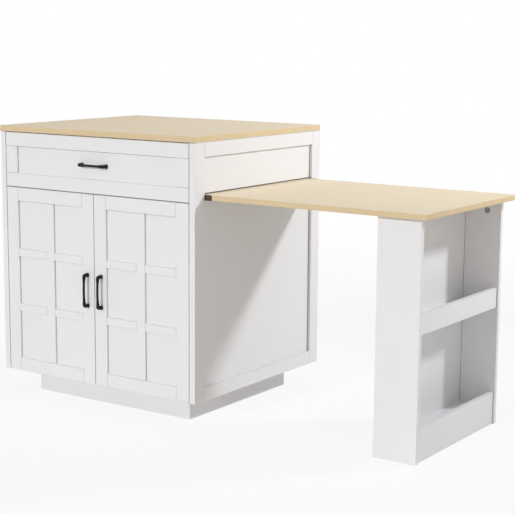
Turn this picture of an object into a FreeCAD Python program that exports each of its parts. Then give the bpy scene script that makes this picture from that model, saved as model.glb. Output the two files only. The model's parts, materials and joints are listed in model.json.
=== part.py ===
"""Kitchen island with a pull-out table whose outer end stands on a shelf rack.

Millimetres, +Z up. The origin is on the floor, in the middle of the plinth. The doors and the
drawer face -Y, and the table slides in and out of the right side along X. Every size is a cell of
the sheet, and every place is an expression of those cells.
"""
import FreeCAD, Part
import os
import re

import Sketcher

SIZES = [
    # cabinet, outside
    ("total_height", 920, "floor to the worktop's upper face"),
    ("body_width", 820, "across the two sides"),
    ("body_depth", 716, "front faces of the doors to the rear"),
    ("worktop_thickness", 19, "worktop board"),
    ("worktop_overhang", 4, "worktop in front of the doors"),
    ("worktop_ease", 1.2, "rounding of the edges of the wood boards"),
    ("board_ease", 0.6, "rounding of the edges of the painted boards"),
    # plinth
    ("plinth_height", 82, "floor to the underside of the body"),
    ("plinth_inset", 84, "plinth behind the body, on all four sides"),
    ("plinth_thickness", 15, "plinth boards"),
    ("plinth_block", 28, "square section of the corner blocks"),
    ("plinth_block_height", 60, "height of the corner blocks"),
    # sides
    ("side_panel_thickness", 12, "flat panel of each side"),
    ("side_frame_thickness", 9, "stiles and rails laid on the panel"),
    ("side_stile_width", 50, "upright boards of a side"),
    ("side_rail_width", 46, "level boards of a side"),
    # inside of the body
    ("bottom_thickness", 15, "bottom board"),
    ("back_thickness", 9, "back panel"),
    ("carcass_setback", 2, "board edges behind the backs of the doors"),
    ("stretcher_thickness", 15, "boards under the worktop"),
    ("stretcher_width", 60, "front to rear width of those boards"),
    ("divider_thickness", 15, "board under the table compartment"),
    ("cross_rail_thickness", 18, "boards that carry the table guides"),
    ("cross_rail_above_slot", 3, "cross rails above the slot"),
    ("shelf_top_height", 405, "floor to the upper face of the loose shelf"),
    ("shelf_thickness", 15, "loose shelf"),
    ("shelf_end_gap", 1, "loose shelf to the side panels"),
    ("shelf_setback", 30, "front edge of the shelf behind the doors"),
    ("shelf_pin_radius", 2.5, "shelf pins"),
    ("shelf_pin_length", 16, "shelf pins, end to end"),
    ("shelf_pin_depth", 8, "pin holes"),
    ("shelf_pin_clearance", 0.05, "pin holes, on the radius"),
    ("shelf_pin_inset", 50, "pins in from the shelf's front and rear edges"),
    ("shelf_pin_pitch", 32, "pin holes, one above the other"),
    # doors and drawer front
    ("front_gap", 2.5, "gap round the doors and the drawer front"),
    ("front_panel_thickness", 12, "flat panels of the doors and the drawer front"),
    ("front_strip_thickness", 6, "strips laid on those panels"),
    ("front_rail_width", 46, "level strips along the edges"),
    ("front_stile_width", 50, "upright strips along the edges"),
    ("muntin_width", 35, "upright strip in the middle of a door"),
    ("cross_muntin_width", 27.5, "level strips across a door"),
    ("drawer_front_drop", 4.5, "lower edge of the drawer front below the table"),
    # handles
    ("handle_spacing", 102, "between the two feet of a handle"),
    ("handle_reach", 18, "door face to the middle of the bar, at its feet"),
    ("handle_bow", 2, "how far the bar swells outwards at its middle"),
    ("handle_bar_radius", 3.9, "bar of a handle"),
    ("handle_foot_radius", 7, "foot of a handle, on the door"),
    ("handle_elbow_radius", 6, "rounded elbow where a foot meets the bar"),
    ("door_handle_edge", 28, "handle in from the door's free edge"),
    ("door_handle_height", 397, "floor to the middle of a door handle"),
    ("screw_radius", 2, "handle screws"),
    ("screw_clearance", 0.25, "screw holes in the boards, on the radius"),
    ("screw_fit", 0.05, "screw holes in the feet, on the radius"),
    ("screw_grip", 8, "screw in the foot"),
    ("screw_head_radius", 4, "heads of the handle screws"),
    ("screw_head_height", 2.4, "thickness of those heads"),
    # cup hinges
    ("hinge_end_distance", 100, "middle of a hinge from the end of its door"),
    ("hinge_cup_radius", 17.5, "hinge cups"),
    ("hinge_cup_skin", 0.9, "panel left under a hinge cup"),
    ("hinge_cup_wall", 1.2, "sheet of the hinge cups"),
    ("hinge_cup_clearance", 0.1, "cup bores, on the radius and in depth"),
    ("hinge_cup_edge", 23, "middle of a cup in from the door's edge"),
    ("hinge_flange_length", 52, "flange of a cup, along the door's edge"),
    ("hinge_flange_width", 26, "flange of a cup, across the door"),
    ("hinge_flange_thickness", 1.2, "flange of a cup"),
    ("hinge_arm_gap", 0.5, "arm to cup flange, the open link"),
    ("hinge_arm_width", 14, "height of an arm"),
    ("hinge_arm_length", 60, "arm, front to rear"),
    ("hinge_arm_offset", 12, "arm out from the side panel"),
    ("hinge_crank_depth", 9, "front to rear size of the cranked end"),
    ("hinge_plate_height", 46, "mounting plate, upright"),
    ("hinge_plate_length", 26, "mounting plate, front to rear"),
    ("hinge_plate_thickness", 4, "mounting plate"),
    # drawer
    ("drawer_wall", 12, "sides, front and back of the drawer box"),
    ("drawer_length", 450, "drawer box and its slides"),
    ("drawer_gap_below", 7, "drawer box above the cross rails"),
    ("drawer_gap_above", 12, "drawer box below the stretchers"),
    ("drawer_bottom_thickness", 5, "drawer bottom"),
    ("drawer_bottom_height", 8, "drawer bottom above the box's lower edge"),
    ("drawer_groove_depth", 6, "groove that holds the bottom"),
    ("drawer_groove_clearance", 0.1, "bottom in its groove, each way"),
    ("slide_space", 13, "drawer box to side panel"),
    ("slide_height", 45, "cabinet member of a slide"),
    ("slide_wall", 1.2, "sheet of the slides"),
    ("slide_running_gap", 0.6, "between the members of a slide, above and below"),
    ("slide_web_gap", 1.0, "between the members of a slide, sideways"),
    ("slide_flange", 9, "flanges of the members"),
    # pull-out table
    ("table_drop", 182, "worktop's upper face down to the table's"),
    ("leaf_thickness", 17, "table board"),
    ("leaf_reach", 762, "table beyond the body's side, drawn out"),
    ("leaf_overlap", 170, "table that stays in the body, drawn out"),
    ("slot_gap_above", 4, "slot above the table"),
    ("slot_gap_below", 1, "slot below the table"),
    ("runner_thickness", 6, "steel runners on the table's edges"),
    ("runner_show", 22, "runners beyond the body's side, drawn out"),
    ("runner_side_gap", 1, "runners to the ends of the slot"),
    ("guide_wall", 1.5, "sheet of the guides"),
    ("guide_flange", 14, "guides, across"),
    ("guide_running_gap", 0.3, "runners in their guides, above and below"),
    ("guide_side_gap", 0.5, "runners in their guides, sideways"),
    ("divider_gap", 8, "guides above the divider board"),
    # rack under the table's outer end
    ("rack_end_inset", 28, "rack in from the table's outer end"),
    ("rack_side_inset", 30, "rack in from the table's long edges"),
    ("rack_depth", 142, "rack, along the table"),
    ("rack_side_thickness", 15, "rack sides"),
    ("rack_back_thickness", 12, "rack back panel"),
    ("rack_back_inset", 8, "back panel in from the edges of the sides"),
    ("rack_back_low", 20, "floor to the back panel"),
    ("rack_shelf_thickness", 15, "rack shelves"),
    ("rack_shelf_height", 396, "floor to the middle shelf's upper face"),
    ("rack_base_height", 58, "floor to the bottom shelf's upper face"),
    ("rack_rail_thickness", 12, "guard rail and kick rail"),
    ("rack_rail_recess", 4.5, "rails in from the edges of the sides"),
    ("guard_rail_height", 64, "guard rail"),
    ("kick_rail_top", 107, "floor to the kick rail's upper edge"),
    ("kick_rail_low", 2, "floor to the kick rail's lower edge"),
    ("glide_height", 1, "floor glides below the rack sides"),
    ("glide_radius", 6, "floor glides"),
    ("glide_inset", 22, "floor glides in from the ends of the rack sides"),
    ("cam_radius", 7.5, "cam locks"),
    ("cam_thickness", 12, "cam locks"),
    ("cam_clearance", 0.1, "cam bores, on the radius"),
    ("cam_drop", 33, "middle of a cam below the table"),
    ("cam_edge", 47, "middle of a cam in from the rack's outer edge"),
    ("cam_bolt_radius", 3, "cam bolts"),
    ("cam_bolt_clearance", 0.05, "bolt holes, on the radius"),
    ("cam_bolt_grip", 11, "cam bolts in the table"),
]

# Places worked out from the sizes. A name here may use the sizes and the names above it.
PLACES = {
    "side_x": "body_width / 2",
    "panel_x": "side_x - side_frame_thickness",
    "inner_x": "panel_x - side_panel_thickness",
    "front_y": "-body_depth / 2",
    "rear_y": "body_depth / 2",
    "back_y": "rear_y - back_thickness",
    "worktop_low": "total_height - worktop_thickness",
    "plinth_x": "side_x - plinth_inset",
    "plinth_y": "rear_y - plinth_inset",
    "front_x": "inner_x - front_gap",
    "strip_back_y": "front_y + front_strip_thickness",
    "front_back_y": "strip_back_y + front_panel_thickness",
    "carcass_y": "front_back_y + carcass_setback",
    "leaf_top_height": "total_height - table_drop",
    "leaf_low": "leaf_top_height - leaf_thickness",
    "drawer_front_top": "worktop_low - front_gap",
    "drawer_front_low": "leaf_low - drawer_front_drop",
    "drawer_middle_z": "(drawer_front_low + drawer_front_top) / 2",
    "door_top": "drawer_front_low - front_gap",
    "door_height": "door_top - plinth_height",
    "door_width": "front_x - front_gap / 2",
    "pane_width": "(door_width - 2 * front_stile_width - muntin_width) / 2",
    "pane_height": "(door_height - 2 * front_rail_width - 2 * cross_muntin_width) / 3",
    "slot_low": "leaf_low - slot_gap_below",
    "slot_high": "leaf_top_height + slot_gap_above",
    "slot_y": "rear_y - side_stile_width",
    "runner_y": "slot_y - runner_side_gap",
    "leaf_y": "runner_y - runner_thickness",
    "leaf_inner_x": "side_x - leaf_overlap",
    "leaf_outer_x": "side_x + leaf_reach",
    "guide_y": "runner_y + guide_side_gap + guide_wall",
    "guide_low": "leaf_low - guide_running_gap - guide_wall",
    "guide_high": "leaf_top_height + guide_running_gap + guide_wall",
    "divider_top": "guide_low - divider_gap",
    "cross_rail_top": "slot_high + cross_rail_above_slot",
    "box_x": "inner_x - slide_space",
    "box_low": "cross_rail_top + drawer_gap_below",
    "box_high": "worktop_low - stretcher_thickness - drawer_gap_above",
    "box_rear_y": "front_back_y + drawer_length",
    "box_floor": "box_low + drawer_bottom_height",
    "slide_z": "(box_low + box_high) / 2",
    "slide_step": "slide_wall + slide_running_gap",
    "slide_web_step": "slide_wall + slide_web_gap",
    "shelf_low": "shelf_top_height - shelf_thickness",
    "shelf_front_y": "carcass_y + shelf_setback",
    "rack_outer_x": "leaf_outer_x - rack_end_inset",
    "rack_inner_x": "rack_outer_x - rack_depth",
    "rack_y": "leaf_y - rack_side_inset",
    "rack_inner_y": "rack_y - rack_side_thickness",
    "rack_back_x": "rack_inner_x + rack_back_inset",
    "rack_wall_x": "rack_back_x + rack_back_thickness",
    "rail_outer_x": "rack_outer_x - rack_rail_recess",
    "rail_inner_x": "rail_outer_x - rack_rail_thickness",
    "cam_x": "rack_outer_x - cam_edge",
    "cam_z": "leaf_low - cam_drop",
    "hinge_low_z": "plinth_height + hinge_end_distance",
    "hinge_high_z": "door_top - hinge_end_distance",
    "hinge_cup_depth": "front_panel_thickness - hinge_cup_skin - hinge_cup_clearance",
    "arm_y": "front_back_y + hinge_flange_thickness + hinge_arm_gap",
}

# Which way a sketch's own two axes and its normal run on each origin plane.
PLANE_ROLES = {"z": "XY_Plane", "y": "XZ_Plane", "x": "YZ_Plane"}
NORMAL_SIGN = {"z": 1, "y": -1, "x": 1}

doc = FreeCAD.newDocument("KitchenIsland")
sheet = doc.addObject("Spreadsheet::Sheet", "Sizes")
for row, (alias, size, meaning) in enumerate(SIZES, start=1):
    sheet.set(f"A{row}", alias.replace("_", " "))
    sheet.set(f"B{row}", str(size))
    sheet.setAlias(f"B{row}", alias)
    sheet.set(f"C{row}", meaning)
doc.recompute()

aliases = {alias for alias, size, meaning in SIZES}
nodes = []


def expand(text):
    """Write an expression of sizes and places as one of the sheet's cells alone."""
    def swap(match):
        word = match.group(0)
        if word in PLACES:
            return f"({expand(PLACES[word])})"
        if word in aliases:
            return f"Sizes.{word}"
        raise NameError(f"{word} is neither a size nor a place")
    return re.sub(r"[A-Za-z_]\w*", swap, str(text))


def value(text):
    """Give an expression's present value."""
    return float(sheet.evalExpression(expand(text)))


def bind(thing, field, text):
    """Tie one property of an object to the sheet."""
    thing.setExpression(field, expand(text))


def across(low, high):
    """Write the length between two places."""
    return f"({high}) - ({low})"


def mirrored(side, near, far):
    """Give the low and high ends of a span that lies near to far out from the middle."""
    return (near, far) if side > 0 else (f"-({far})", f"-({near})")


def place(thing, at, rotation=None):
    """Set where an object stands, with its three coordinates tied to the sheet."""
    if rotation is not None:
        thing.Placement = FreeCAD.Placement(FreeCAD.Vector(), rotation)
    for axis, text in zip("xyz", at):
        bind(thing, f"Placement.Base.{axis}", text)


def new_body(label, at, rotation=None):
    """Start a body at a place."""
    body = doc.addObject("PartDesign::Body", label)
    body.Label = label
    place(body, at, rotation)
    return body


def add_sketch(body, name, axis, start="0"):
    """Add a sketch across one of the body's axes, at a distance along that axis."""
    sketch = body.newObject("Sketcher::SketchObject", name)
    plane = next(f for f in body.Origin.OriginFeatures if f.Role == PLANE_ROLES[axis])
    sketch.AttachmentSupport = [(plane, "")]
    sketch.MapMode = "FlatFace"
    bind(sketch, "AttachmentOffset.Base.z", f"{NORMAL_SIGN[axis]} * ({start})")
    return sketch


def constrain(sketch, kind, where, text, name):
    """Add one dimension and tie it to the sheet."""
    dimension = Sketcher.Constraint(kind, *where, value(text))
    dimension.Name = name
    sketch.addConstraint(dimension)
    bind(sketch, f"Constraints.{name}", text)


def draw_outline(sketch, points):
    """Draw a closed outline of straight lines through points given as expressions."""
    spots = [FreeCAD.Vector(value(u), value(v), 0) for u, v in points]
    count = len(points)
    for index in range(count):
        sketch.addGeometry(Part.LineSegment(spots[index], spots[(index + 1) % count]), False)
    for index in range(count):
        sketch.addConstraint(Sketcher.Constraint("Coincident", index, 2, (index + 1) % count, 1))
    for index, (u, v) in enumerate(points):
        constrain(sketch, "DistanceX", (index, 1), u, f"across_{index}")
        constrain(sketch, "DistanceY", (index, 1), v, f"up_{index}")


def draw_circles(sketch, centres, radius):
    """Draw equal circles at centres given as expressions."""
    for index, (u, v) in enumerate(centres):
        centre = FreeCAD.Vector(value(u), value(v), 0)
        sketch.addGeometry(Part.Circle(centre, FreeCAD.Vector(0, 0, 1), value(radius)), False)
        constrain(sketch, "DistanceX", (index, 3), u, f"across_{index}")
        constrain(sketch, "DistanceY", (index, 3), v, f"up_{index}")
        constrain(sketch, "Radius", (index,), radius, f"radius_{index}")


def rectangle(u, v):
    """Give the four corners of a rectangle from its two spans."""
    return [(u[0], v[0]), (u[1], v[0]), (u[1], v[1]), (u[0], v[1])]


def extrude(body, axis, points, length, start="0"):
    """Draw an outline across an axis and push it out in that axis's own direction."""
    sketch = add_sketch(body, "Outline", axis, start)
    draw_outline(sketch, points)
    pad = body.newObject("PartDesign::Pad", "Pad")
    pad.Profile = sketch
    pad.Reversed = NORMAL_SIGN[axis] < 0
    bind(pad, "Length", length)
    doc.recompute([body])
    return pad


def cut(body, sketch, axis, direction, depth):
    """Cut a sketch into the body, along an axis towards + or -, and check that it did."""
    before = body.Shape.Volume
    pocket = body.newObject("PartDesign::Pocket", "Cut")
    pocket.Profile = sketch
    pocket.Reversed = direction * NORMAL_SIGN[axis] > 0
    bind(pocket, "Length", depth)
    doc.recompute([body])
    if body.Shape.Volume >= before:
        raise RuntimeError(f"{body.Label}: a cut along {axis} took nothing away")
    return pocket


def cut_outline(body, axis, direction, start, depth, points):
    """Cut a straight-sided recess."""
    sketch = add_sketch(body, "Recess", axis, start)
    draw_outline(sketch, points)
    return cut(body, sketch, axis, direction, depth)


def drill(body, axis, direction, start, depth, centres, radius):
    """Drill equal round holes."""
    sketch = add_sketch(body, "Holes", axis, start)
    draw_circles(sketch, centres, radius)
    return cut(body, sketch, axis, direction, depth)


def ease_edges(body, faces, radius):
    """Round the straight outer edges of the named faces of a board, such as "-y" or "+z"."""
    base = body.Tip
    box = base.Shape.BoundBox
    limits = {
        "-x": (box.XMin, "XMin", "XMax"), "+x": (box.XMax, "XMin", "XMax"),
        "-y": (box.YMin, "YMin", "YMax"), "+y": (box.YMax, "YMin", "YMax"),
        "-z": (box.ZMin, "ZMin", "ZMax"), "+z": (box.ZMax, "ZMin", "ZMax"),
    }
    picked = []
    for number, edge in enumerate(base.Shape.Edges, start=1):
        for face in faces:
            level, low, high = limits[face]
            lies = all(abs(getattr(edge.BoundBox, end) - level) < 1e-4 for end in (low, high))
            if lies and isinstance(edge.Curve, Part.Line):
                picked.append(f"Edge{number}")
                break
    fillet = body.newObject("PartDesign::Fillet", "Ease")
    fillet.Base = (base, picked)
    bind(fillet, "Radius", radius)
    doc.recompute([body])


ALL_FACES = ("-x", "+x", "-y", "+y", "-z", "+z")


def board(label, x, y, z, eased=(), radius="board_ease"):
    """Make a rectangular board from its three spans, with the edges of some faces rounded."""
    body = new_body(label, (x[0], y[0], z[0]))
    outline = rectangle(("0", across(*x)), ("0", across(*y)))
    extrude(body, "z", outline, across(*z))
    if eased:
        ease_edges(body, eased, radius)
    return body


def keep(piece):
    """Hand in a piece as a sub-part of its own."""
    nodes.append(piece)
    return piece


def keep_group(label, pieces):
    """Hand in like pieces as one sub-part of separate solids."""
    group = doc.addObject("Part::Compound", label)
    group.Label = label
    group.Links = pieces
    nodes.append(group)
    return group


def channel(opening, height, depth, wall):
    """Give the outline of a channel, open towards + or - of the first sketch axis."""
    def along(text):
        return text if opening > 0 else f"({depth}) - ({text})"
    points = [
        ("0", "0"), (depth, "0"), (depth, wall), (wall, wall),
        (wall, f"{height} - ({wall})"), (depth, f"{height} - ({wall})"), (depth, height), ("0", height),
    ]
    return [(along(u), v) for u, v in points]


def make_worktop():
    """The wood worktop: flush with the sides and the rear, proud of the doors."""
    keep(board(
        "worktop",
        ("-(side_x)", "side_x"), ("front_y - worktop_overhang", "rear_y"),
        ("worktop_low", "total_height"), ALL_FACES, "worktop_ease",
    ))


def make_plinth():
    """Four boards, a brace down the middle and a block in each corner."""
    height = ("0", "plinth_height")
    inside_x = "plinth_x - plinth_thickness"
    inside_y = "plinth_y - plinth_thickness"
    for label, side, face in (("plinth_front", -1, "-y"), ("plinth_rear", 1, "+y")):
        keep(board(
            label, ("-(plinth_x)", "plinth_x"), mirrored(side, inside_y, "plinth_y"), height,
            (face,),
        ))
    ends = [
        board(f"plinth_side_{word}", mirrored(side, inside_x, "plinth_x"),
              (f"-({inside_y})", inside_y), height)
        for word, side in (("left", -1), ("right", 1))
    ]
    keep_group("plinth_sides", ends)
    keep(board(
        "plinth_brace", ("-plinth_thickness / 2", "plinth_thickness / 2"),
        (f"-({inside_y})", inside_y), height,
    ))
    blocks = [
        board(
            f"plinth_block_{index}",
            mirrored(side_x, f"{inside_x} - plinth_block", inside_x),
            mirrored(side_y, f"{inside_y} - plinth_block", inside_y),
            ("plinth_height - plinth_block_height", "plinth_height"),
        )
        for index, (side_x, side_y) in enumerate(((-1, -1), (1, -1), (-1, 1), (1, 1)), start=1)
    ]
    keep_group("plinth_blocks", blocks)


def make_side(word, side):
    """One side of the body: a panel with two stiles and two rails laid on it."""
    height = ("plinth_height", "worktop_low")
    panel = board(
        f"{word}_side_panel", mirrored(side, "inner_x", "panel_x"), ("front_y", "rear_y"), height,
    )
    if side > 0:
        slot = rectangle(
            ("-(slot_y) - (front_y)", "slot_y - (front_y)"),
            ("slot_low - plinth_height", "slot_high - plinth_height"),
        )
        cut_outline(panel, "x", 1, "0", "side_panel_thickness", slot)
    columns = ("shelf_front_y + shelf_pin_inset", "back_y - shelf_pin_inset")
    middle = "shelf_low - shelf_pin_radius - plinth_height"
    centres = [
        (f"{column} - (front_y)", f"{middle} + {step} * shelf_pin_pitch")
        for column in columns for step in (-1, 0, 1)
    ]
    start = "0" if side > 0 else "side_panel_thickness"
    drill(panel, "x", side, start, "shelf_pin_depth", centres, "shelf_pin_radius + shelf_pin_clearance")
    keep(panel)

    frame_x = mirrored(side, "panel_x", "side_x")
    face = "+x" if side > 0 else "-x"
    stiles = [
        board(f"{word}_stile_front", frame_x, ("front_y", "-(slot_y)"), height, (face,)),
        board(f"{word}_stile_rear", frame_x, ("slot_y", "rear_y"), height, (face,)),
    ]
    keep_group(f"{word}_side_stiles", stiles)
    between = ("-(slot_y)", "slot_y")
    rails = [
        board(f"{word}_rail_top", frame_x, between,
              ("worktop_low - side_rail_width", "worktop_low"), (face,)),
        board(f"{word}_rail_bottom", frame_x, between,
              ("plinth_height", "plinth_height + side_rail_width"), (face,)),
    ]
    keep_group(f"{word}_side_rails", rails)


def make_carcass():
    """Boards between the two sides."""
    inside = ("-(inner_x)", "inner_x")
    depth = ("carcass_y", "back_y")
    keep(board("bottom_board", inside, depth, ("plinth_height", "plinth_height + bottom_thickness")))
    keep(board("back_panel", inside, ("back_y", "rear_y"), ("plinth_height", "worktop_low")))
    keep(board("divider_board", inside, depth, ("divider_top - divider_thickness", "divider_top")))
    for label, side in (("front_cross_rail", -1), ("rear_cross_rail", 1)):
        keep(board(
            label, inside, mirrored(side, "guide_y", "guide_y + cross_rail_thickness"),
            ("divider_top", "cross_rail_top"),
        ))
    under = ("worktop_low - stretcher_thickness", "worktop_low")
    stretchers = [
        board("stretcher_front", inside, ("carcass_y", "carcass_y + stretcher_width"), under),
        board("stretcher_rear", inside, ("back_y - stretcher_width", "back_y"), under),
    ]
    keep_group("top_stretchers", stretchers)
    keep(board(
        "adjustable_shelf", ("-(inner_x) + shelf_end_gap", "inner_x - shelf_end_gap"),
        ("shelf_front_y", "back_y - shelf_end_gap"), ("shelf_low", "shelf_top_height"), ("-y",),
    ))


def make_shelf_pins():
    """Four round pins under the loose shelf, each half in its side panel."""
    pins = []
    for side in (-1, 1):
        for column in ("shelf_front_y + shelf_pin_inset", "back_y - shelf_pin_inset"):
            pin = doc.addObject("Part::Cylinder", "shelf_pin")
            bind(pin, "Radius", "shelf_pin_radius")
            bind(pin, "Height", "shelf_pin_length")
            ends = mirrored(side, "inner_x + shelf_pin_depth - shelf_pin_length",
                            "inner_x + shelf_pin_depth")
            along_x = FreeCAD.Rotation(FreeCAD.Vector(0, 1, 0), 90)
            place(pin, (ends[0], column, "shelf_low - shelf_pin_radius"), along_x)
            pins.append(pin)
    keep_group("shelf_pins", pins)


def make_handle(label, at, upright):
    """A bow handle. Its own X runs along the bar and its own Z out from the door."""
    outwards = FreeCAD.Rotation(FreeCAD.Vector(1, 0, 0), 90)
    turn = FreeCAD.Rotation(FreeCAD.Vector(0, 0, 1), 90) if upright else FreeCAD.Rotation()
    body = new_body(label, at, outwards.multiply(turn))
    path = add_sketch(body, "BarPath", "y")
    ends = [("handle_spacing / 2", "handle_reach"), ("-handle_spacing / 2", "handle_reach")]
    crown = "handle_reach + handle_bow"
    first, last = (FreeCAD.Vector(value(u), value(v), 0) for u, v in ends)
    top = FreeCAD.Vector(0, value(crown), 0)
    path.addGeometry(Part.Arc(first, top, last), False)
    path.addGeometry(Part.Point(top), True)
    path.addConstraint(Sketcher.Constraint("PointOnObject", 1, 1, 0))
    path.addConstraint(Sketcher.Constraint("PointOnObject", 1, 1, -2))
    constrain(path, "DistanceY", (1, 1), crown, "crown")
    for index, (u, v) in enumerate(ends):
        constrain(path, "DistanceX", (0, index + 1), u, f"across_{index}")
        constrain(path, "DistanceY", (0, index + 1), v, f"up_{index}")
    section = add_sketch(body, "BarSection", "x", "-handle_spacing / 2")
    draw_circles(section, [("0", "handle_reach")], "handle_bar_radius")
    bar = body.newObject("PartDesign::AdditivePipe", "Bar")
    bar.Profile = section
    bar.Spine = (path, ["Edge1"])
    for sign in (-1, 1):
        foot_x = f"{sign} * handle_spacing / 2"
        foot = body.newObject("PartDesign::AdditiveCone", "Foot")
        bind(foot, "Radius1", "handle_foot_radius")
        bind(foot, "Radius2", "handle_elbow_radius")
        bind(foot, "Height", "handle_reach")
        place(foot, (foot_x, "0", "0"))
        elbow = body.newObject("PartDesign::AdditiveSphere", "Elbow")
        bind(elbow, "Radius", "handle_elbow_radius")
        place(elbow, (foot_x, "0", "handle_reach"))
    doc.recompute([body])
    feet = [(f"{sign} * handle_spacing / 2", "0") for sign in (-1, 1)]
    drill(body, "z", 1, "0", "screw_grip + screw_fit", feet, "screw_radius + screw_fit")
    return keep(body)


def make_screw(label, at, length):
    """A pan-head screw that points forwards, with its head behind the board."""
    forwards = FreeCAD.Rotation(FreeCAD.Vector(1, 0, 0), 90)
    body = new_body(label, at, forwards)
    shank = body.newObject("PartDesign::AdditiveCylinder", "Shank")
    bind(shank, "Radius", "screw_radius")
    bind(shank, "Height", length)
    head = body.newObject("PartDesign::AdditiveCylinder", "Head")
    bind(head, "Radius", "screw_head_radius")
    bind(head, "Height", "screw_head_height")
    place(head, ("0", "0", "-screw_head_height"))
    return body


def make_door(word, side):
    """One door: a panel, the strips laid on it, a handle with its screws and the hinge cups."""
    free_x = "front_gap / 2"
    width = mirrored(side, free_x, "front_x")
    height = ("plinth_height", "door_top")
    handle_x = f"{side} * ({free_x} + door_handle_edge)"
    hinge_x = f"{side} * (front_x - hinge_cup_edge)"
    handle_z = [f"door_handle_height + {sign} * handle_spacing / 2" for sign in (-1, 1)]
    hinge_z = ("hinge_low_z", "hinge_high_z")

    panel = board(f"{word}_door_panel", width, ("strip_back_y", "front_back_y"), height)
    low_x = width[0]
    screws = [(f"{handle_x} - ({low_x})", f"{z} - plinth_height") for z in handle_z]
    cups = [(f"{hinge_x} - ({low_x})", f"{z} - plinth_height") for z in hinge_z]
    drill(panel, "y", 1, "0", "front_panel_thickness", screws, "screw_radius + screw_clearance")
    drill(panel, "y", -1, "front_panel_thickness", "hinge_cup_depth + hinge_cup_clearance", cups,
          "hinge_cup_radius + hinge_cup_clearance")
    keep(panel)

    strip_y = ("front_y", "strip_back_y")
    inner_stile = mirrored(side, free_x, f"{free_x} + front_stile_width")
    outer_stile = mirrored(side, "front_x - front_stile_width", "front_x")
    stiles = [
        board(f"{word}_door_stile_{place_word}", span, strip_y, height, ("-y",))
        for place_word, span in (("inner", inner_stile), ("outer", outer_stile))
    ]
    holes = [(f"{handle_x} - ({inner_stile[0]})", f"{z} - plinth_height") for z in handle_z]
    drill(stiles[0], "y", 1, "0", "front_strip_thickness", holes, "screw_radius + screw_clearance")
    keep_group(f"{word}_door_stiles", stiles)

    between = mirrored(side, f"{free_x} + front_stile_width", "front_x - front_stile_width")
    rails = [
        board(f"{word}_door_rail_bottom", between, strip_y,
              ("plinth_height", "plinth_height + front_rail_width"), ("-y",)),
        board(f"{word}_door_rail_top", between, strip_y,
              ("door_top - front_rail_width", "door_top"), ("-y",)),
    ]
    keep_group(f"{word}_door_rails", rails)

    panes_low = "plinth_height + front_rail_width"
    middle = (f"{between[0]} + pane_width", f"{between[1]} - (pane_width)")
    muntins = [board(f"{word}_door_muntin", middle, strip_y,
                     (panes_low, "door_top - front_rail_width"), ("-y",))]
    for number in (1, 2):
        low = f"{panes_low} + {number} * (pane_height) + {number - 1} * cross_muntin_width"
        for half, span in (("left", (between[0], middle[0])), ("right", (middle[1], between[1]))):
            muntins.append(board(
                f"{word}_door_cross_muntin_{number}_{half}", span, strip_y,
                (low, f"{low} + cross_muntin_width"), ("-y",),
            ))
    keep_group(f"{word}_door_muntins", muntins)

    make_handle(f"{word}_door_handle", (handle_x, "front_y", "door_handle_height"), True)
    length = "front_strip_thickness + front_panel_thickness + screw_grip"
    keep_group(f"{word}_door_screws", [
        make_screw(f"{word}_door_screw_{index}", (handle_x, "front_back_y", z), length)
        for index, z in enumerate(handle_z, start=1)
    ])
    keep_group(f"{word}_door_hinge_cups", [
        make_hinge_cup(f"{word}_door_hinge_cup_{index}", (hinge_x, "front_back_y", z))
        for index, z in enumerate(hinge_z, start=1)
    ])


def make_hinge_cup(label, at):
    """A cup let into the back of a door, with a flange on the door's face. Its Z points back."""
    backwards = FreeCAD.Rotation(FreeCAD.Vector(1, 0, 0), -90)
    body = new_body(label, at, backwards)
    half_width = "hinge_flange_width / 2"
    half_length = "hinge_flange_length / 2"
    flange = rectangle((f"-{half_width}", half_width), (f"-{half_length}", half_length))
    extrude(body, "z", flange, "hinge_flange_thickness")
    cup = body.newObject("PartDesign::AdditiveCylinder", "Cup")
    bind(cup, "Radius", "hinge_cup_radius")
    bind(cup, "Height", "hinge_cup_depth + hinge_flange_thickness")
    place(cup, ("0", "0", "-hinge_cup_depth"))
    doc.recompute([body])
    drill(body, "z", -1, "hinge_flange_thickness",
          "hinge_cup_depth + hinge_flange_thickness - hinge_cup_wall",
          [("0", "0")], "hinge_cup_radius - hinge_cup_wall")
    return body


def make_hinge_arms():
    """Four cranked arms with their plates, screwed to the side panels behind the doors."""
    arms = []
    crank = "inner_x - (front_x - hinge_cup_edge) + hinge_arm_width / 2"
    for side in (-1, 1):
        for z in ("hinge_low_z", "hinge_high_z"):
            body = new_body(
                f"hinge_arm_{len(arms) + 1}",
                (f"{side} * (inner_x)", "arm_y", f"{z} - hinge_arm_width / 2"),
            )
            outline = [
                ("0", "0"), (crank, "0"), (crank, "hinge_crank_depth"),
                ("hinge_arm_offset", "hinge_crank_depth + hinge_arm_offset"),
                ("hinge_arm_offset", "hinge_arm_length"), ("0", "hinge_arm_length"),
            ]
            extrude(body, "z", [(f"{-side} * ({u})", v) for u, v in outline], "hinge_arm_width")
            plate_low = "(hinge_arm_width - hinge_plate_height) / 2"
            plate_x = ("0", f"{-side} * hinge_plate_thickness")
            plate_y = ("hinge_arm_length - hinge_plate_length", "hinge_arm_length")
            extrude(body, "z", rectangle(plate_x, plate_y), "hinge_plate_height", plate_low)
            arms.append(body)
    keep_group("hinge_arms", arms)


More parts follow.
